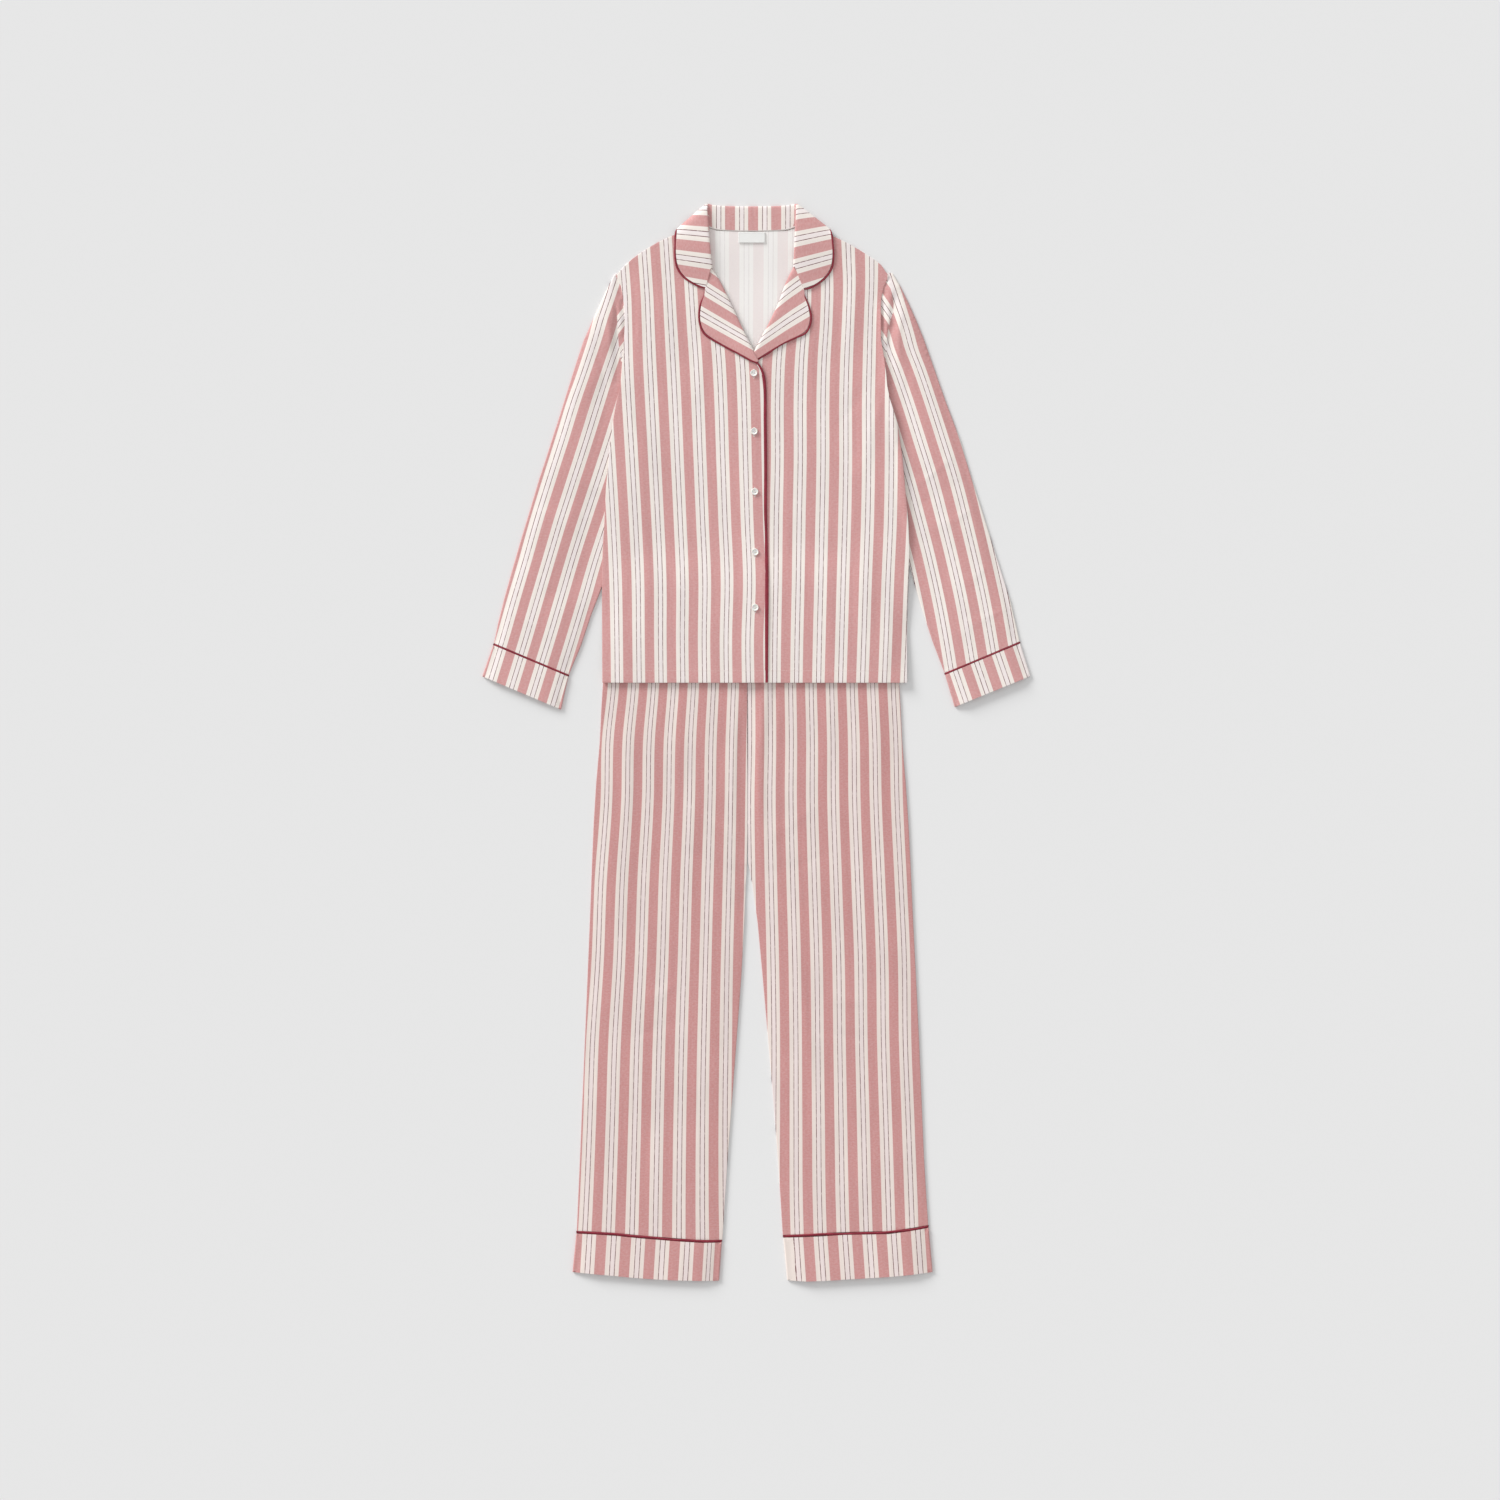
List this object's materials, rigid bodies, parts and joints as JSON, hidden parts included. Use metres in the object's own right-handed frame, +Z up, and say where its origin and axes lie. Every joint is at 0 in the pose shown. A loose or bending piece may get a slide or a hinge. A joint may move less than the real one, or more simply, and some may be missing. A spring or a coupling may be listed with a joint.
{
  "type": "pyjama set laid flat",
  "caption": "Long-sleeved button-front pyjama jacket with a notched collar and piping, laid over the waist of matching long trousers with piped cuffs.",
  "frame": {"origin": "on the table, under the middle of the whole set's outline", "axes": "+Z up from the table, +Y from the trouser cuffs to the collar, +X to the wearer's left, which is the viewer's right from above"},
  "size_m": [0.822, 1.615, 0.0134],
  "materials": {
    "striped_cotton": "matt brushed cotton with woven stripes",
    "piping": "matt cotton bias tape over a cord",
    "button": "polished white resin",
    "label": "woven satin tape"
  },
  "bodies": {
    "root": {"jacket_back": "striped_cotton", "jacket_front_right": "striped_cotton", "jacket_front_left": "striped_cotton", "facing_right": "striped_cotton", "facing_left": "striped_cotton", "collar": "striped_cotton", "sleeve_right": "striped_cotton", "sleeve_left": "striped_cotton", "sleeve_cuff_right": "striped_cotton", "sleeve_cuff_left": "striped_cotton", "piping_sleeve_right": "piping", "piping_sleeve_left": "piping", "piping_collar": "piping", "piping_front_right": "piping", "piping_front_left": "piping", "button_1": "button", "button_2": "button", "button_3": "button", "button_4": "button", "button_5": "button", "neck_label": "label", "trouser_back_right": "striped_cotton", "trouser_back_left": "striped_cotton", "trouser_front_right": "striped_cotton", "trouser_front_left": "striped_cotton", "leg_cuff_right": "striped_cotton", "leg_cuff_left": "striped_cotton", "piping_leg_cuff_right": "piping", "piping_leg_cuff_left": "piping", "waistband": "striped_cotton"}
  },
  "joints": []
}
